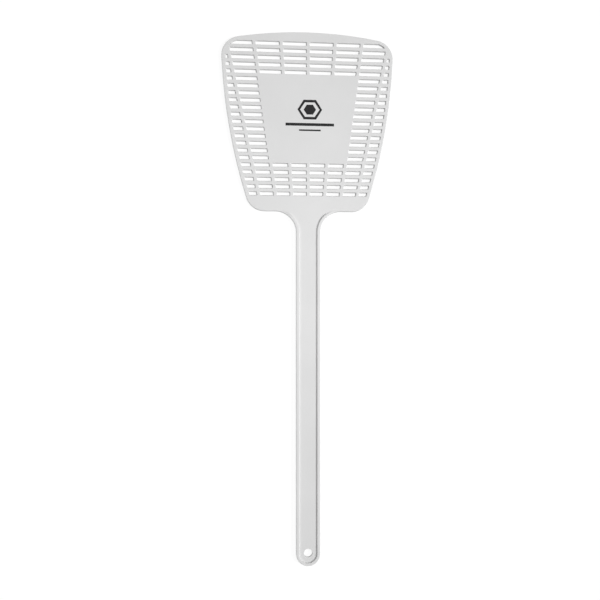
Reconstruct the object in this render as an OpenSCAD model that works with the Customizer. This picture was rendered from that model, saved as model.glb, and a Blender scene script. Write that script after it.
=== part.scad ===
// Lattice-headed fly swatter, one flexible moulding with a printed mark.
// Lies flat with its printed face up: +Z up, +Y from the handle towards the head.
// Origin: centre of the outline, on the plane that the handle's rails rest on.

/* [Overall] */
// Length from the hang end to the top of the head
swatter_length = 420; // [400:1:460]
// Thickness of the head's plate and of the handle's web
plate_t = 2.2; // [1.6:0.1:2.8]
// Depth of the handle over its rails, front to back
rail_depth = 4.4; // [3.6:0.1:6]

/* [Head outline] */
// Length of the head from its base edge to its top
head_length = 141; // [140.5:0.5:146]
// Width of the head between its bowed sides at their widest
head_w = 137; // [134:0.5:142]
// Radius of each bowed side
side_r = 440; // [400:5:480]
// Radius of the bowed top edge
top_r = 330; // [300:5:380]
// Radius of the head's four corners
corner_r = 15; // [12:0.5:16]
// Width of the plain rim down each side
rim_w = 2.8; // [2.4:0.1:4]

/* [Lattice] */
// Distance from the top of the head to the middle of the first row of slots
first_row_drop = 9.3; // [9:0.1:10.5]
// Spacing of the rows of slots
row_pitch = 5.615; // [5.5:0.005:5.65]
// Height of a slot
slot_h = 2.7; // [2:0.1:3.4]
// Rows of slots above the print panel
upper_rows = 5; // [3:1:5]
// Rows of slots beside the print panel
side_rows = 12; // [8:1:12]
// Rows of slots below the print panel
lower_rows = 5; // [3:1:5]
// Width of a rib between two slots
rib_w = 2.7; // [2:0.1:4]
// Spacing of the ribs at the first row of slots
rib_pitch_top = 21.4; // [20.5:0.1:21.4]
// Spacing of the ribs at the last row of slots
rib_pitch_base = 13.1; // [12.5:0.1:13.5]

/* [Handle] */
// Width of the handle over its two rails
handle_w = 19; // [17:0.1:22]
// Width of each rail
rail_w = 2.3; // [1.6:0.1:2.6]
// Radius of the flare where the handle opens into the head
flare_r = 16.5; // [14:0.5:18]
// Radius of the hang hole
hang_hole_r = 3.25; // [2.5:0.05:3.5]
// Distance from the hang end to the middle of the hang hole
hang_hole_y = 10.2; // [10:0.1:12]

/* [Flexing lengths] */
// Start of the springy length of the shank, from the hang end
shank_flex_y = 125; // [110:1:140]
// Length of the springy length of the shank
shank_flex_length = 40; // [20:1:50]
// Length of the springy neck below the flare
neck_flex_length = 22; // [16:1:30]

/* [Print] */
// Sideways shift of the print from the centre line
print_x = 1.3; // [-3:0.1:3]
// Distance from the top of the head to the middle of the emblem
emblem_drop = 60.9; // [55:0.1:65]
// Width of the emblem
emblem_w = 19.5; // [15:0.5:24]
// Height of the emblem
emblem_h = 15.4; // [12:0.2:18]
// Length of the long bar under the emblem
long_bar_w = 38.4; // [30:0.2:44]
// Length of the short bar below it
short_bar_w = 17.2; // [10:0.2:24]

/* [Hidden] */
$fn = 64;

plastic = [0.88, 0.89, 0.89];
ink = [0.05, 0.05, 0.05];

// Levels of the plate's two faces; the rails stand proud of both
plate_z = (rail_depth - plate_t) / 2;
plate_top = plate_z + plate_t;
ink_t = 0.1;

// Handle stations, measured from the hang end
handle_r = handle_w / 2;
web_r = handle_r - rail_w;
tab_length = 2 * handle_r;
head_base_y = swatter_length - head_length;
flare_y = head_base_y - flare_r;
neck_flex_y = flare_y - neck_flex_length;
shank_y = shank_flex_y + shank_flex_length;

// Each neck rail sinks into the plate just before the head's base edge
run_out_length = 5;
run_out_end = head_base_y - 1;
run_out_start = run_out_end - run_out_length;

// Centres of the right-hand arcs of the head's outline
side_c = [head_w / 2 - side_r, swatter_length];
top_c = [0, swatter_length - top_r];
top_corner = arcs_meet(side_c, side_r - corner_r, top_c, top_r - corner_r);
base_corner_y = head_base_y + corner_r;
base_corner = [
    side_c.x + sqrt(pow(side_r - corner_r, 2) - pow(base_corner_y - side_c.y, 2)),
    base_corner_y,
];
flare_c = [handle_r + flare_r, flare_y];

// Straight steps along each kind of arc
corner_steps = 12;
side_steps = 20;
top_steps = 12;
flare_steps = 16;

// Rows of slots, counted from 0 at the top
row_count = upper_rows + side_rows + lower_rows;
first_row_y = swatter_length - first_row_drop;
last_row_y = first_row_y - (row_count - 1) * row_pitch;
panel_top = row_base(upper_rows - 1);
panel_base = row_top(upper_rows + side_rows);

// The seven ribs fan out from one point on the centre line
outer_rib = 3;
panel_rib = 2;
corner_rows = 2;
rib_spread = (rib_pitch_top - rib_pitch_base) / (first_row_y - last_row_y);
fan_y = first_row_y - rib_pitch_top / rib_spread;

// Extra reach of a cutting or masking shape past the solid that it trims
reach = 1;

// Print: line widths, and how far each bar's middle is below the emblem's
emblem_y = swatter_length - emblem_drop;
emblem_line = 2;
long_bar_h = 2.2;
long_bar_drop = 11.7;
long_bar_y = emblem_y - long_bar_drop;
short_bar_h = 1.2;
short_bar_drop = 16.2;
short_bar_y = emblem_y - short_bar_drop;

function row_y(i) = first_row_y - i * row_pitch;
function row_top(i) = row_y(i) + slot_h / 2;
function row_base(i) = row_y(i) - slot_h / 2;

function rib_x(k, y) = k * rib_spread * (y - fan_y);

// Points along an arc, both ends included
function arc(c, r, from, to, steps) =
    [for (i = [0:steps]) c + r * [cos(from + (to - from) * i / steps), sin(from + (to - from) * i / steps)]];

function bearing(from, to) = atan2(to.y - from.y, to.x - from.x);

// Upper crossing of two circles
function arcs_meet(c1, r1, c2, r2) =
    let (
        gap = norm(c2 - c1),
        along = (r1 * r1 - r2 * r2 + gap * gap) / (2 * gap),
        aside = sqrt(r1 * r1 - along * along),
        u = (c2 - c1) / gap
    )
    c1 + along * u + aside * [-u.y, u.x];

// Right half of the head's outline, moved inwards by inset, from the base edge to the top
function half_outline(inset) =
    let (
        side_low = bearing(side_c, base_corner),
        side_high = bearing(side_c, top_corner),
        top_end = bearing(top_c, top_corner)
    )
    concat(
        arc(base_corner, corner_r - inset, -90, side_low, corner_steps),
        arc(side_c, side_r - inset, side_low, side_high, side_steps),
        arc(top_corner, corner_r - inset, side_high, top_end, corner_steps),
        arc(top_c, top_r - inset, top_end, 90, top_steps)
    );

function mirrored(points) = [for (i = [len(points) - 1:-1:0]) [-points[i].x, points[i].y]];

module head_shape(inset = 0) {
    half = half_outline(inset);
    polygon(concat(half, mirrored(half)));
}

// Everything between two levels across the whole head
module band(low, high) {
    translate([-head_w, low]) square([2 * head_w, high - low]);
}

module half_plane(side) {
    translate([side > 0 ? 0 : -head_w, 0]) square([head_w, swatter_length]);
}

module rib(k) {
    low = head_base_y;
    high = swatter_length;
    half = rib_w / 2;
    polygon([
        [rib_x(k, low) - half, low], [rib_x(k, low) + half, low],
        [rib_x(k, high) + half, high], [rib_x(k, high) - half, high],
    ]);
}

// Area between ribs -k and k, those two included
module between_ribs(k, low, high) {
    half = rib_w / 2;
    polygon([
        [-rib_x(k, low) - half, low], [rib_x(k, low) + half, low],
        [rib_x(k, high) + half, high], [-rib_x(k, high) - half, high],
    ]);
}

// Cross bars under rows first to last
module bars(first, last) {
    for (i = [first:last]) band(row_top(i + 1), row_base(i));
}

// A piece of the plate from its flat shape, at the plate's level
module plate() {
    translate([0, -swatter_length / 2, plate_z]) linear_extrude(plate_t) children();
}

// A piece at the full depth of the rails
module full_depth() {
    translate([0, -swatter_length / 2, 0]) linear_extrude(rail_depth) children();
}

module web_strip(low, high) {
    plate() translate([-web_r, low]) square([2 * web_r, high - low]);
}

module rail_strip(side, low, high) {
    full_depth() translate([side > 0 ? web_r : -handle_r, low]) square([rail_w, high - low]);
}

// One length of the handle with its web and both rails in one solid
module handle_length(low, high) {
    union() {
        web_strip(low, high);
        rail_strip(-1, low, high);
        rail_strip(1, low, high);
    }
}

// --- Handle ---

module hang_tab() {
    color(plastic) difference() {
        plate() {
            translate([0, handle_r]) circle(web_r);
            translate([-web_r, handle_r]) square([2 * web_r, tab_length - handle_r]);
        }
        translate([0, hang_hole_y - swatter_length / 2, plate_z - reach])
            cylinder(r = hang_hole_r, h = plate_t + 2 * reach);
    }
}

module end_rail() {
    color(plastic) full_depth() difference() {
        translate([0, handle_r]) circle(handle_r);
        translate([0, handle_r]) circle(web_r);
        translate([-handle_w, handle_r]) square([2 * handle_w, handle_w]);
    }
}

module grip_web() {
    color(plastic) web_strip(tab_length, shank_flex_y);
}

module grip_rail(side) {
    color(plastic) rail_strip(side, handle_r, shank_flex_y);
}

module shank_flexure() {
    color(plastic) handle_length(shank_flex_y, shank_y);
}

module shank_web() {
    color(plastic) web_strip(shank_y, neck_flex_y);
}

module shank_rail(side) {
    color(plastic) rail_strip(side, shank_y, neck_flex_y);
}

// --- Neck ---

module neck_flexure() {
    color(plastic) handle_length(neck_flex_y, flare_y);
}

// Flat shape of the flare, rails included
module flare_shape() {
    half = arc(flare_c, flare_r, 180, 90, flare_steps);
    polygon(concat(mirrored(half), half));
}

// Flat shape of the rail that follows the flare on one side
module neck_rail_shape(side) {
    mirror([side > 0 ? 0 : 1, 0]) intersection() {
        polygon(concat(
            arc(flare_c, flare_r, 180, 90, flare_steps),
            arc(flare_c, flare_r + rail_w, 90, 180, flare_steps)
        ));
        band(flare_y, head_base_y);
    }
}

// Wedge that takes a rail down to the plate's face towards the head
module run_out_wedge() {
    translate([-head_w / 2, -swatter_length / 2, 0]) rotate([90, 0, 90]) linear_extrude(head_w) polygon([
        [run_out_start, rail_depth], [run_out_end, plate_top], [head_base_y + reach, plate_top],
        [head_base_y + reach, rail_depth + reach], [run_out_start, rail_depth + reach],
    ]);
}

module neck_rail(side) {
    color(plastic) difference() {
        full_depth() neck_rail_shape(side);
        run_out_wedge();
        translate([0, 0, rail_depth]) mirror([0, 0, 1]) run_out_wedge();
    }
}

module neck_flare() {
    color(plastic) plate() difference() {
        flare_shape();
        neck_rail_shape(-1);
        neck_rail_shape(1);
    }
}

// --- Head ---

module base_band() {
    color(plastic) plate() intersection() {
        head_shape();
        band(head_base_y, row_base(row_count - 1));
    }
}

module top_band() {
    color(plastic) plate() intersection() {
        head_shape();
        band(row_top(0), swatter_length + reach);
    }
}

module side_rim(side) {
    color(plastic) plate() intersection() {
        difference() {
            head_shape();
            head_shape(rim_w);
        }
        band(row_base(row_count - 1), row_top(0));
        half_plane(side);
    }
}

// Solid corners outside the outer ribs, beside the first rows of slots
module corner_blocks() {
    difference() {
        band(row_base(corner_rows - 1), row_top(0));
        between_ribs(outer_rib, row_base(corner_rows - 1) - reach, row_top(0) + reach);
    }
}

module upper_lattice() {
    color(plastic) plate() intersection() {
        head_shape(rim_w);
        band(panel_top, row_top(0));
        union() {
            for (k = [-outer_rib:outer_rib]) rib(k);
            bars(0, upper_rows - 2);
            corner_blocks();
        }
    }
}

module lower_lattice() {
    color(plastic) plate() intersection() {
        head_shape(rim_w);
        band(row_base(row_count - 1), panel_base);
        union() {
            for (k = [-outer_rib:outer_rib]) rib(k);
            bars(upper_rows + side_rows, row_count - 2);
        }
    }
}

module side_lattice(side) {
    color(plastic) plate() intersection() {
        difference() {
            head_shape(rim_w);
            between_ribs(panel_rib, panel_base - reach, panel_top + reach);
        }
        band(panel_base, panel_top);
        half_plane(side);
        union() {
            rib(side * outer_rib);
            bars(upper_rows - 1, upper_rows + side_rows - 1);
        }
    }
}

module print_panel() {
    color(plastic) plate() between_ribs(panel_rib, panel_base, panel_top);
}

// --- Print ---

module printed() {
    translate([print_x, -swatter_length / 2, plate_top]) color(ink) linear_extrude(ink_t) children();
}

function hexagon(w, h) = [for (a = [0:60:300]) [w / 2 * cos(a), h / 2 * sin(a) / sin(60)]];

// Plain hexagonal ring round a solid hexagon
module printed_emblem() {
    printed() translate([0, emblem_y]) {
        difference() {
            polygon(hexagon(emblem_w, emblem_h));
            polygon(hexagon(emblem_w - 2 * emblem_line, emblem_h - 2 * emblem_line));
        }
        polygon(hexagon(emblem_w / 2, emblem_h / 2));
    }
}

module printed_bar(w, h, y) {
    printed() translate([-w / 2, y - h / 2]) square([w, h]);
}

hang_tab();
end_rail();
grip_web();
grip_rail(-1);  // grip_left_rail
grip_rail(1);  // grip_right_rail
shank_flexure();
shank_web();
shank_rail(-1);  // shank_left_rail
shank_rail(1);  // shank_right_rail
neck_flexure();
neck_flare();
neck_rail(-1);  // neck_left_rail
neck_rail(1);  // neck_right_rail
base_band();
side_rim(-1);  // left_rim
side_rim(1);  // right_rim
top_band();
upper_lattice();
side_lattice(-1);  // left_lattice
side_lattice(1);  // right_lattice
lower_lattice();
print_panel();
printed_emblem();
printed_bar(long_bar_w, long_bar_h, long_bar_y);  // printed_long_bar
printed_bar(short_bar_w, short_bar_h, short_bar_y);  // printed_short_bar
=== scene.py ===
"""Lattice-headed fly swatter on a pale floor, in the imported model's frame.

Shapes are worked out on a plan in millimetres, with Y measured from the hang end
and Z from the middle of the moulding, and are then placed in the frame in metres.
"""
import math
import random

import bpy
from mathutils import Matrix, Vector
from mathutils.geometry import delaunay_2d_cdt


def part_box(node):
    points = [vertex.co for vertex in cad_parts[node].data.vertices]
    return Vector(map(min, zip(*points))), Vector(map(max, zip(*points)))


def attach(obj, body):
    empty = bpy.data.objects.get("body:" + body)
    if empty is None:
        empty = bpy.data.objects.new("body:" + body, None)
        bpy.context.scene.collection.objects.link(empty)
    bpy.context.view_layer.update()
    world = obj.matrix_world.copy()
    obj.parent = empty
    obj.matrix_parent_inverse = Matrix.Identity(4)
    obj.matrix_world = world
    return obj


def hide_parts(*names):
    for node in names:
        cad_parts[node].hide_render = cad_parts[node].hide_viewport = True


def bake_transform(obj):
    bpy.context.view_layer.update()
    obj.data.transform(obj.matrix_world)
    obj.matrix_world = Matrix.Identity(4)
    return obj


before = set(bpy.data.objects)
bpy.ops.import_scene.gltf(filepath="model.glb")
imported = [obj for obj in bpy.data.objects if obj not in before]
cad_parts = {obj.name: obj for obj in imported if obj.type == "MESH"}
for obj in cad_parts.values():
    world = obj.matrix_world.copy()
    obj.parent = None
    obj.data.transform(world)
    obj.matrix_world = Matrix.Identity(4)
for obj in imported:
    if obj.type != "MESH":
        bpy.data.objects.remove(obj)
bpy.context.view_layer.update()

MM = 0.001

# ---------------------------------------------------------------- sizes from the CAD nodes

HANG_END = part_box("end_rail")[0].y
PLATE_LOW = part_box("grip_web")[0].z
PLATE_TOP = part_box("grip_web")[1].z
MID_Z = (PLATE_LOW + PLATE_TOP) / 2


def plan_y(value):
    """A Y in the frame as millimetres from the hang end."""
    return (value - HANG_END) / MM


LENGTH = plan_y(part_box("top_band")[1].y)
HANDLE_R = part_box("grip_right_rail")[1].x / MM
PLATE_HALF = (PLATE_TOP - PLATE_LOW) / 2 / MM
RAIL_HALF = (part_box("grip_left_rail")[1].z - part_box("grip_left_rail")[0].z) / 2 / MM
BASE_Y = plan_y(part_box("base_band")[0].y)
FLARE_Y = plan_y(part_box("neck_flexure")[1].y)
FLARE_R = BASE_Y - FLARE_Y

# ---------------------------------------------------------------- the other sizes, as in the part's source

HEAD_W = 137.0
SIDE_R = 440.0
TOP_R = 330.0
CORNER_R = 15.0
RIM_W = 2.8

FIRST_ROW_Y = LENGTH - 9.3
ROW_PITCH = 5.615
SLOT_H = 3.1
SLOT_CORNER_R = 0.6
UPPER_ROWS, SIDE_ROWS, LOWER_ROWS = 5, 12, 5
ROWS = UPPER_ROWS + SIDE_ROWS + LOWER_ROWS
CORNER_ROWS = 2
OUTER_RIB = 3
PANEL_RIB = 2
RIB_W = 2.3
RIB_PITCH_TOP = 21.4
RIB_PITCH_BASE = 13.1
LAST_ROW_Y = FIRST_ROW_Y - (ROWS - 1) * ROW_PITCH
RIB_SPREAD = (RIB_PITCH_TOP - RIB_PITCH_BASE) / (FIRST_ROW_Y - LAST_ROW_Y)
FAN_Y = FIRST_ROW_Y - RIB_PITCH_TOP / RIB_SPREAD

HANG_HOLE_Y = 10.2
HANG_HOLE_R = 3.25

# The neck rails sink into the plate between these two stations
RUN_OUT = (BASE_Y - 5.2, BASE_Y - 0.3)

# Where the moulding is divided, clear of both flexing lengths
GRIP_CUT = 110.0
SHANK_CUT = 205.0

# Ejector pin marks and the gate mark, all on the back
HANDLE_PIN_R = 2.2
HEAD_PIN_R = 2.5
GATE_Y = 347

PRINT_X = 1.3
EMBLEM_Y = LENGTH - 60.9
EMBLEM_W, EMBLEM_H, EMBLEM_LINE = 19.5, 15.4, 2.0
LONG_BAR = (38.4, 2.2, EMBLEM_Y - 11.7)
SHORT_BAR = (17.2, 1.2, EMBLEM_Y - 16.2)
INK_T = 0.06


# ---------------------------------------------------------------- plan geometry


class Station:
    """A point of an outline, with the unit direction into the material and how much of a rail is there."""

    def __init__(self, x, y, nx, ny, rail=0.0):
        self.x, self.y, self.nx, self.ny, self.rail = x, y, nx, ny, rail

    def mirrored(self):
        return Station(-self.x, self.y, -self.nx, self.ny, self.rail)

    def inset(self, d):
        return self.x + self.nx * d, self.y + self.ny * d


def smooth(t):
    t = min(1.0, max(0.0, t))
    return t * t * (3 - 2 * t)


def rail_at(y):
    return 1 - smooth((y - RUN_OUT[0]) / (RUN_OUT[1] - RUN_OUT[0]))


def arc(cx, cy, r, start, end, steps, into=-1):
    """Stations along an arc in degrees, its start left out.

    into is -1 where the material is on the centre's side, and 1 where it is on the other side.
    """
    out = []
    for i in range(1, steps + 1):
        a = math.radians(start + (end - start) * i / steps)
        c, s = math.cos(a), math.sin(a)
        out.append(Station(cx + r * c, cy + r * s, into * c, into * s))
    return out


def arcs_meet(ax, ay, ar, bx, by, br):
    """Upper crossing of two circles."""
    dx, dy = bx - ax, by - ay
    gap = math.hypot(dx, dy)
    along = (ar * ar - br * br + gap * gap) / (2 * gap)
    aside = math.sqrt(ar * ar - along * along)
    ux, uy = dx / gap, dy / gap
    return ax + along * ux - aside * uy, ay + along * uy + aside * ux


def bearing(ax, ay, bx, by):
    return math.degrees(math.atan2(by - ay, bx - ax))


SIDE_C = (HEAD_W / 2 - SIDE_R, LENGTH)
TOP_C = (0.0, LENGTH - TOP_R)
TOP_CORNER = arcs_meet(*SIDE_C, SIDE_R - CORNER_R, *TOP_C, TOP_R - CORNER_R)
BASE_CORNER = (
    SIDE_C[0] + math.sqrt((SIDE_R - CORNER_R) ** 2 - (BASE_Y + CORNER_R - SIDE_C[1]) ** 2),
    BASE_Y + CORNER_R,
)
SIDE_LOW = bearing(*SIDE_C, *BASE_CORNER)
SIDE_HIGH = bearing(*SIDE_C, *TOP_CORNER)
TOP_END = bearing(*TOP_C, *TOP_CORNER)


def head_half(inset=0.0):
    """Right half of the head's outline from the start of its base corner to the top."""
    r = CORNER_R - inset
    out = [Station(BASE_CORNER[0], BASE_CORNER[1] - r, 0, 1)]
    out += arc(*BASE_CORNER, r, -90, SIDE_LOW, 14)
    out += arc(*SIDE_C, SIDE_R - inset, SIDE_LOW, SIDE_HIGH, 30)
    out += arc(*TOP_CORNER, r, SIDE_HIGH, TOP_END, 14)
    out += arc(*TOP_C, TOP_R - inset, TOP_END, 90, 16)
    return out


def steps_between(low, high, longest):
    count = math.ceil((high - low) / longest)
    return [low + (high - low) * i / count for i in range(1, count + 1)]


def swatter_half():
    """Right half of the whole outline, from the hang end to the top of the head."""
    out = [Station(0, 0, 0, 1)]
    out += arc(0, HANDLE_R, HANDLE_R, -90, 0, 20)
    sides = [(HANDLE_R, GRIP_CUT, 4), (GRIP_CUT, SHANK_CUT, 2.5), (SHANK_CUT, FLARE_Y, 2.5)]
    for low, high, longest in sides:
        out += [Station(HANDLE_R, y, -1, 0) for y in steps_between(low, high, longest)]
    out += arc(HANDLE_R + FLARE_R, FLARE_Y, FLARE_R, 180, 90, 24, into=1)
    base_end = BASE_CORNER[0]
    out += [Station(x, BASE_Y, 0, 1) for x in steps_between(out[-1].x, base_end, 4)]
    out += head_half()[1:]
    for s in out:
        s.rail = rail_at(s.y)
    return out


def rib_x(k, y):
    return k * RIB_SPREAD * (y - FAN_Y)


def clip(points, low, high):
    """The part of a convex polygon on the left of the line from low to high."""
    out = []
    ex, ey = high[0] - low[0], high[1] - low[1]

    def side(p):
        return ex * (p[1] - low[1]) - ey * (p[0] - low[0])

    for i, p in enumerate(points):
        q = points[(i + 1) % len(points)]
        sp, sq = side(p), side(q)
        if sp >= 0:
            out.append(p)
        if (sp >= 0) != (sq >= 0):
            t = sp / (sp - sq)
            out.append((p[0] + (q[0] - p[0]) * t, p[1] + (q[1] - p[1]) * t))
    return out


def tidy(points, shortest=0.05):
    """The polygon without points that almost coincide."""
    out = []
    for p in points:
        if not out or math.dist(p, out[-1]) > shortest:
            out.append(p)
    if math.dist(out[0], out[-1]) <= shortest:
        out.pop()
    return out


def rounded(points, r, steps=4):
    """Stations round a hole with the shape of a convex anticlockwise polygon, its sharp corners rounded."""
    out = []
    n = len(points)
    for i, p in enumerate(points):
        a, b = points[i - 1], points[(i + 1) % n]
        la, lb = math.dist(a, p), math.dist(p, b)
        u = ((p[0] - a[0]) / la, (p[1] - a[1]) / la)
        w = ((b[0] - p[0]) / lb, (b[1] - p[1]) / lb)
        turn = math.atan2(u[0] * w[1] - u[1] * w[0], u[0] * w[0] + u[1] * w[1])
        if turn < math.radians(20):
            scale = 1 + u[0] * w[0] + u[1] * w[1]
            out.append(Station(*p, (u[1] + w[1]) / scale, -(u[0] + w[0]) / scale))
            continue
        cut = min(r * math.tan(turn / 2), 0.4 * la, 0.4 * lb)
        radius = cut / math.tan(turn / 2)
        cx = p[0] - u[0] * cut - u[1] * radius
        cy = p[1] - u[1] * cut + u[0] * radius
        start = math.degrees(math.atan2(-u[0], u[1]))
        end = start + math.degrees(turn)
        out.append(Station(cx + radius * u[1], cy - radius * u[0], u[1], -u[0]))
        out += arc(cx, cy, radius, start, end, steps, into=1)
    return out


def slots():
    """Every slot of the lattice, as stations in anticlockwise order."""
    rim = [(s.x, s.y) for s in head_half(RIM_W)]
    rim += [(-x, y) for x, y in reversed(rim[:-1])]
    out = []
    for row in range(ROWS):
        middle = FIRST_ROW_Y - row * ROW_PITCH
        low, high = middle - SLOT_H / 2, middle + SLOT_H / 2
        beside_panel = UPPER_ROWS <= row < UPPER_ROWS + SIDE_ROWS
        first = PANEL_RIB if beside_panel else -OUTER_RIB
        last = OUTER_RIB - 1 if row < CORNER_ROWS else OUTER_RIB
        for k in range(first, last + 1):
            left, right = [rib_x(k, y) + RIB_W / 2 for y in (low, high)], [HEAD_W, HEAD_W]
            if k < OUTER_RIB:
                right = [rib_x(k + 1, y) - RIB_W / 2 for y in (low, high)]
            cell = [(left[0], low), (right[0], low), (right[1], high), (left[1], high)]
            for i, p in enumerate(rim):
                cell = clip(cell, p, rim[(i + 1) % len(rim)])
            shape = rounded(tidy(cell), SLOT_CORNER_R)
            out.append(shape)
            if beside_panel or k == OUTER_RIB:
                out.append([s.mirrored() for s in reversed(shape)])
    return out


# ---------------------------------------------------------------- sections through the moulding's edges


def quarter(d, z, r, steps):
    """Points round a convex edge from its wall to its face, given the arc's centre."""
    angles = [math.pi / 2 * i / steps for i in range(steps + 1)]
    return [(d - r * math.cos(a), z + r * math.sin(a)) for a in angles]


# Each half of an edge is (distance into the material, height) from near the parting line to the flat face
EDGE_R = 0.25
EDGE_DRAFT = 0.3
CREST_R = 0.5
# A rail's half has a flat crest and a steep inner wall, in as many points as plain_side gives
RAIL_SIDE = quarter(CREST_R + 0.05, RAIL_HALF - CREST_R, CREST_R, 4) + [
    (1.6, RAIL_HALF), (2.2, RAIL_HALF - 0.02), (2.32, RAIL_HALF - 0.09), (2.39, RAIL_HALF - 0.3),
    (2.46, PLATE_HALF + 0.1), (2.58, PLATE_HALF + 0.02), (4.2, PLATE_HALF),
]


def plain_side(draft):
    flat = [(1.05 + 0.2 * i, PLATE_HALF) for i in range(7)]
    return quarter(EDGE_R + draft, PLATE_HALF - EDGE_R, EDGE_R, 4) + flat


def whole_edge(back, parting, front):
    """An edge from the back face round to the front face, with a hint of flash on its parting line."""
    flash = [(0.0, parting - 0.06), (-0.035, parting), (0.0, parting + 0.06)]
    return [(d, -z) for d, z in reversed(back)] + flash + front


PLAIN_PARTING = -0.6
BACK_DRAFT = 0.02
PLAIN_EDGE = whole_edge(plain_side(BACK_DRAFT), PLAIN_PARTING, plain_side(EDGE_DRAFT))
RAIL_EDGE = whole_edge(RAIL_SIDE, 0.0, RAIL_SIDE)

# The slots, unlike the hang hole, are widest at the front face
LIP_R = 0.2
LIP = quarter(LIP_R, PLATE_HALF - LIP_R, LIP_R, 3) + [(LIP_R + 0.22, PLATE_HALF)]
SLOT_DRAFT = 0.4


def outline_section(station):
    """The outer edge's section at a station, from the back face round to the front face."""
    f = station.rail
    return [(p[0] + (q[0] - p[0]) * f, p[1] + (q[1] - p[1]) * f) for p, q in zip(PLAIN_EDGE, RAIL_EDGE)]


def slot_section(station):
    """A slot's section at a station, from the back face round to the front face."""
    return [(d - SLOT_DRAFT, -z) for d, z in reversed(LIP)] + LIP


def hole_section(station):
    return [(d, -z) for d, z in reversed(LIP)] + LIP


def column(station, section):
    return [(*station.inset(d), z) for d, z in section(station)]


# ---------------------------------------------------------------- mesh building


class Shell:
    """Gathers the points and faces of one closed piece, in plan millimetres."""

    def __init__(self):
        self.points, self.faces = [], []
        self.front, self.back = [], []

    def add(self, points):
        first = len(self.points)
        self.points += points
        return list(range(first, len(self.points)))

    def wall(self, columns, cuts=()):
        """Sides through a closed run of columns. Each step in cuts is closed by one flat face instead."""
        index = [self.add(c) for c in columns]
        for i, a in enumerate(index):
            b = index[(i + 1) % len(index)]
            if i in cuts:
                self.faces.append([a[0]] + b + a[:0:-1])
                continue
            for k in range(len(a) - 1):
                self.faces.append([a[k], b[k], b[k + 1], a[k + 1]])
        self.front.append([c[-1] for c in index])
        self.back.append([c[0] for c in index])

    def mark(self, x, y, rings, steps=28):
        """A small round feature on the back, from (radius, depth) rings, closed by a disc."""
        runs = []
        for r, depth in rings:
            ring = []
            for i in range(steps):
                a = 2 * math.pi * i / steps
                ring.append((x + r * math.cos(a), y + r * math.sin(a), depth - PLATE_HALF))
            runs.append(self.add(ring))
        self.back.append(runs[0])
        for outer, inner in zip(runs, runs[1:]):
            for i in range(steps):
                j = (i + 1) % steps
                self.faces.append([outer[i], inner[i], inner[j], outer[j]])
        self.faces.append(runs[-1][::-1])

    def anticlockwise(self, loop):
        flat = [self.points[i] for i in loop]
        return sum(a[0] * b[1] - b[0] * a[1] for a, b in zip(flat, flat[1:] + flat[:1])) > 0

    def cap(self, loops, up):
        """Triangles over the first loop, with the others as holes."""
        loops = [loop if self.anticlockwise(loop) else loop[::-1] for loop in loops]
        flat = [i for loop in loops for i in loop]
        coords = [Vector(self.points[i][:2]) for i in flat]
        rings, start = [], 0
        for loop in loops:
            rings.append(list(range(start, start + len(loop))))
            start += len(loop)
        _, _, tris, origins, _, sources = delaunay_2d_cdt(coords, [], rings, 1, 1e-7)
        for tri, source in zip(tris, sources):
            if set(source) != {0}:
                continue
            ids = [flat[origins[i][0]] for i in tri]
            self.faces.append(ids if self.anticlockwise(ids) == up else ids[::-1])

    def close(self):
        self.cap(self.front, True)
        self.cap(self.back, False)


def to_frame(x, y, z):
    return x * MM, HANG_END + y * MM, MID_Z + z * MM


def make_object(name, points, faces, material, crease=40):
    mesh = bpy.data.meshes.new(name)
    mesh.from_pydata([to_frame(*p) for p in points], [], faces)
    mesh.validate()
    mesh.shade_smooth()
    mesh.set_sharp_from_angle(angle=math.radians(crease))
    mesh.materials.append(material)
    obj = bpy.data.objects.new(name, mesh)
    bpy.context.scene.collection.objects.link(obj)
    normals = obj.modifiers.new("face_weighted_normals", "WEIGHTED_NORMAL")
    normals.keep_sharp = True
    return obj


# ---------------------------------------------------------------- materials


def link(tree, a, out, b, into):
    tree.links.new(a.outputs[out], b.inputs[into])


def noise(tree, coords, scale, detail, roughness=0.5):
    n = tree.nodes.new("ShaderNodeTexNoise")
    n.inputs["Scale"].default_value = scale
    n.inputs["Detail"].default_value = detail
    n.inputs["Roughness"].default_value = roughness
    link(tree, coords, "Object", n, "Vector")
    return n


def ramp(tree, source, low, high, low_value, high_value):
    """Maps a factor between low and high to a grey value."""
    r = tree.nodes.new("ShaderNodeMapRange")
    r.inputs["From Min"].default_value = low
    r.inputs["From Max"].default_value = high
    r.inputs["To Min"].default_value = low_value
    r.inputs["To Max"].default_value = high_value
    tree.links.new(source, r.inputs["Value"])
    return r


def tone(tree, factor, low, high):
    """Colour between two greys, by a factor."""
    m = tree.nodes.new("ShaderNodeMix")
    m.data_type = "RGBA"
    m.inputs[6].default_value = (*low, 1)
    m.inputs[7].default_value = (*high, 1)
    tree.links.new(factor, m.inputs[0])
    return m.outputs[2]


def bump(tree, height, distance, strength, after=None):
    b = tree.nodes.new("ShaderNodeBump")
    b.inputs["Distance"].default_value = distance
    b.inputs["Strength"].default_value = strength
    tree.links.new(height, b.inputs["Height"])
    if after:
        link(tree, after, "Normal", b, "Normal")
    return b


def new_material(name):
    material = bpy.data.materials.new(name)
    material.use_nodes = True
    tree = material.node_tree
    return material, tree, tree.nodes["Principled BSDF"], tree.nodes.new("ShaderNodeTexCoord")


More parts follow.
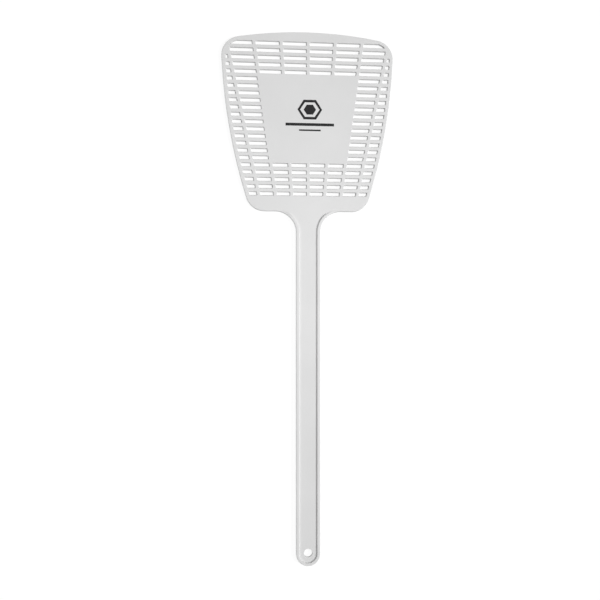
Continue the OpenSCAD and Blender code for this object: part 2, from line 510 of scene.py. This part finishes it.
def plastic_material():
    """White moulded polypropylene: fine satin grain, faint flow shading and a few specks."""
    material, tree, shader, coords = new_material("swatter_plastic")
    flow = noise(tree, coords, 22, 3, 0.45)
    speck = noise(tree, coords, 520, 2)
    grain = noise(tree, coords, 2600, 4, 0.6)
    waves = noise(tree, coords, 60, 2, 0.4)
    shading = ramp(tree, flow.outputs["Fac"], 0.35, 0.65, 0, 1)
    base = tone(tree, shading.outputs[0], (0.71, 0.71, 0.71), (0.735, 0.735, 0.735))
    speckled = tree.nodes.new("ShaderNodeMix")
    speckled.data_type = "RGBA"
    speckled.inputs[7].default_value = (0.62, 0.62, 0.62, 1)
    spots = ramp(tree, speck.outputs["Fac"], 0.74, 0.8, 0, 0.5)
    tree.links.new(spots.outputs[0], speckled.inputs[0])
    tree.links.new(base, speckled.inputs[6])
    tree.links.new(speckled.outputs[2], shader.inputs["Base Color"])
    gloss = ramp(tree, grain.outputs["Fac"], 0.3, 0.7, 0.4, 0.52)
    link(tree, gloss, 0, shader, "Roughness")
    shader.inputs["IOR"].default_value = 1.49
    shader.inputs["Specular IOR Level"].default_value = 0.5
    wide = bump(tree, waves.outputs["Fac"], 0.0002, 0.25)
    fine = bump(tree, grain.outputs["Fac"], 0.00004, 0.8, wide)
    link(tree, fine, "Normal", shader, "Normal")
    return material


def ink_material():
    """Pad-printed near-black ink, slightly uneven, with pinholes."""
    material, tree, shader, coords = new_material("print_ink")
    cover = noise(tree, coords, 900, 3, 0.6)
    pinhole = noise(tree, coords, 2400, 1)
    unevenness = ramp(tree, cover.outputs["Fac"], 0.3, 0.7, 0, 1)
    base = tone(tree, unevenness.outputs[0], (0.012, 0.012, 0.013), (0.02, 0.02, 0.021))
    holed = tree.nodes.new("ShaderNodeMix")
    holed.data_type = "RGBA"
    holed.inputs[7].default_value = (0.3, 0.3, 0.3, 1)
    spots = ramp(tree, pinhole.outputs["Fac"], 0.76, 0.8, 0, 0.7)
    tree.links.new(spots.outputs[0], holed.inputs[0])
    tree.links.new(base, holed.inputs[6])
    tree.links.new(holed.outputs[2], shader.inputs["Base Color"])
    gloss = ramp(tree, cover.outputs["Fac"], 0.3, 0.7, 0.5, 0.65)
    link(tree, gloss, 0, shader, "Roughness")
    shader.inputs["IOR"].default_value = 1.5
    shader.inputs["Specular IOR Level"].default_value = 0.25
    fine = bump(tree, cover.outputs["Fac"], 0.00004, 0.7)
    link(tree, fine, "Normal", shader, "Normal")
    return material


PLASTIC = plastic_material()
INK = ink_material()

# ---------------------------------------------------------------- the moulding, in three lengths

HALF = swatter_half()


def between(low, high):
    return [s for s in HALF if low - 1e-6 <= s.y <= high + 1e-6]


def pin_mark(shell, x, y, r):
    shell.mark(x, y, [(r, 0), (r - 0.08, 0.09)])


def outline_columns(stations):
    return [column(s, outline_section) for s in stations]


def handle_grip():
    shell = Shell()
    right = between(0, GRIP_CUT)
    left = [s.mirrored() for s in reversed(right[1:])]
    stations = left + right
    shell.wall(outline_columns(stations), cuts=[len(stations) - 1])
    hole = arc(0, HANG_HOLE_Y, HANG_HOLE_R, 360, 0, 48, into=1)
    shell.wall([column(s, hole_section) for s in hole])
    for y in (28, 62, 96):
        pin_mark(shell, 0, y, HANDLE_PIN_R)
    shell.close()
    obj = make_object("handle_grip", shell.points, shell.faces, PLASTIC)
    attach(obj, "grip")
    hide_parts("hang_tab", "end_rail", "grip_web", "grip_left_rail", "grip_right_rail")
    return obj


def handle_shank():
    shell = Shell()
    right = between(GRIP_CUT, SHANK_CUT)
    left = [s.mirrored() for s in reversed(right)]
    shell.wall(outline_columns(right + left), cuts=[len(right) - 1, len(right + left) - 1])
    for y in (118, 180):
        pin_mark(shell, 0, y, HANDLE_PIN_R)
    shell.close()
    obj = make_object("handle_shank", shell.points, shell.faces, PLASTIC)
    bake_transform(obj)
    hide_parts("shank_flexure", "shank_web", "shank_left_rail", "shank_right_rail")
    return obj


def head_moulding():
    shell = Shell()
    right = [s for s in HALF if s.y >= SHANK_CUT - 1e-6]
    left = [s.mirrored() for s in reversed(right[:-1])]
    stations = right + left
    shell.wall(outline_columns(stations), cuts=[len(stations) - 1])
    for slot in slots():
        shell.wall([column(s, slot_section) for s in reversed(slot)])
    for x, y in ((-22, 325), (22, 325), (-29, 370), (29, 370)):
        pin_mark(shell, x, y, HEAD_PIN_R)
    shell.mark(0, GATE_Y, [(2.6, 0), (2.2, 0.22), (1.0, 0.22), (0.85, -0.05), (0.6, -0.14)])
    shell.close()
    obj = make_object("head_moulding", shell.points, shell.faces, PLASTIC)
    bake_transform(obj)
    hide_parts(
        "neck_flexure", "neck_flare", "neck_left_rail", "neck_right_rail", "base_band",
        "left_rim", "right_rim", "top_band", "upper_lattice", "left_lattice", "right_lattice",
        "lower_lattice", "print_panel",
    )
    return obj


handle_grip()
handle_shank()
head_moulding()

# ---------------------------------------------------------------- the print


def wavering(corners, rng, step=0.45, waver=0.035):
    """A polygon's outline in short steps, each moved a little as a pad print's edge is."""
    out = []
    for i, a in enumerate(corners):
        b = corners[(i + 1) % len(corners)]
        count = max(2, round(math.dist(a, b) / step))
        for j in range(count):
            t = j / count
            x = a[0] + (b[0] - a[0]) * t + rng.uniform(-waver, waver)
            y = a[1] + (b[1] - a[1]) * t + rng.uniform(-waver, waver)
            out.append((x, y))
    return out


def printed(name, node, outer, inner=None):
    """A thin layer of ink with the shape of outer, less inner, on the panel's face."""
    floor = PLATE_HALF - 0.01
    top = PLATE_HALF + INK_T
    shell = Shell()
    for loop in [outer] + ([inner[::-1]] if inner else []):
        shell.wall([[(x, y, floor), (x, y, top)] for x, y in loop])
    shell.close()
    obj = make_object(name, shell.points, shell.faces, INK)
    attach(obj, "head")
    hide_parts(node)
    return obj


def hexagon(w, h):
    out = []
    for k in range(6):
        a = math.radians(60 * k)
        out.append((PRINT_X + w / 2 * math.cos(a), EMBLEM_Y + h / 2 * math.sin(a) / math.sin(math.pi / 3)))
    return out


def bar(w, h, y):
    return [
        (PRINT_X - w / 2, y - h / 2), (PRINT_X + w / 2, y - h / 2),
        (PRINT_X + w / 2, y + h / 2), (PRINT_X - w / 2, y + h / 2),
    ]


rng = random.Random(7)
ring_outer = wavering(hexagon(EMBLEM_W, EMBLEM_H), rng)
ring_inner = wavering(hexagon(EMBLEM_W - 2 * EMBLEM_LINE, EMBLEM_H - 2 * EMBLEM_LINE), rng)
printed("printed_emblem_ring", "printed_emblem", ring_outer, ring_inner)
printed("printed_emblem_core", "printed_emblem", wavering(hexagon(EMBLEM_W / 2, EMBLEM_H / 2), rng))
printed("printed_long_bar", "printed_long_bar", wavering(bar(*LONG_BAR), rng))
printed("printed_short_bar", "printed_short_bar", wavering(bar(*SHORT_BAR), rng))

# ---------------------------------------------------------------- floor, light and camera


def floor_material():
    """Evenly lit white sweep that takes only a faint shadow."""
    material, tree, shader, coords = new_material("white_sweep")
    fine = noise(tree, coords, 40, 3)
    shade = tone(tree, fine.outputs["Fac"], (0.11, 0.11, 0.11), (0.12, 0.12, 0.12))
    tree.links.new(shade, shader.inputs["Base Color"])
    shader.inputs["Roughness"].default_value = 0.9
    shader.inputs["Specular IOR Level"].default_value = 0.0
    shader.inputs["Emission Color"].default_value = (1, 1, 1, 1)
    shader.inputs["Emission Strength"].default_value = 0.92
    return material


FLOOR_HALF = 12.0
corners = [(x * FLOOR_HALF, y * FLOOR_HALF, 0) for x, y in ((-1, -1), (1, -1), (1, 1), (-1, 1))]
floor_mesh = bpy.data.meshes.new("floor")
floor_mesh.from_pydata(corners, [], [[0, 1, 2, 3]])
floor_mesh.materials.append(floor_material())
floor = bpy.data.objects.new("floor", floor_mesh)
bpy.context.scene.collection.objects.link(floor)
floor.visible_diffuse = False


def aim(obj, target):
    """Turns a light or camera to face target, with the frame's +Y upwards in its view."""
    back = (obj.location - Vector(target)).normalized()
    right = Vector((0, 1, 0)).cross(back).normalized()
    up = back.cross(right)
    obj.rotation_euler = Matrix((right, up, back)).transposed().to_euler()


def place_light(name, data, location, target):
    light = bpy.data.objects.new(name, data)
    light.location = location
    aim(light, target)
    light.visible_camera = False
    bpy.context.scene.collection.objects.link(light)


# A big soft light from the right, a weak hard one from the left that skims the floor,
# and a small one above the swatter, a little nearer the head than the middle of its length
key = bpy.data.lights.new("key_light", "SUN")
key.angle = math.radians(20)
key.energy = 2.38
place_light("key_light", key, (0.720, -0.13, 0.682), (0, 0, 0))
skim = bpy.data.lights.new("skimming_light", "SUN")
skim.angle = math.radians(1)
skim.energy = 1.25
place_light("skimming_light", skim, (-1, 0, 0.014), (0, 0, 0))
top = bpy.data.lights.new("top_light", "AREA")
top.shape = "DISK"
top.size = 0.12
top.energy = 0.35
place_light("top_light", top, (0.06, 0.03, 0.4), (0, 0.03, 0))

world = bpy.data.worlds.new("soft_room")
world.use_nodes = True
background = world.node_tree.nodes["Background"]
background.inputs["Color"].default_value = (1, 1, 1, 1)
background.inputs["Strength"].default_value = 0.28
scene = bpy.context.scene
scene.world = world
scene.view_settings.view_transform = "Standard"

camera_data = bpy.data.cameras.new("camera")
camera_data.lens = 60
camera_data.sensor_width = 36
camera = bpy.data.objects.new("camera", camera_data)
camera.location = (-0.1039, 0.0016, 0.7832)
bpy.context.scene.collection.objects.link(camera)
aim(camera, (-0.0065, -0.0006, 0.0033))
scene.camera = camera
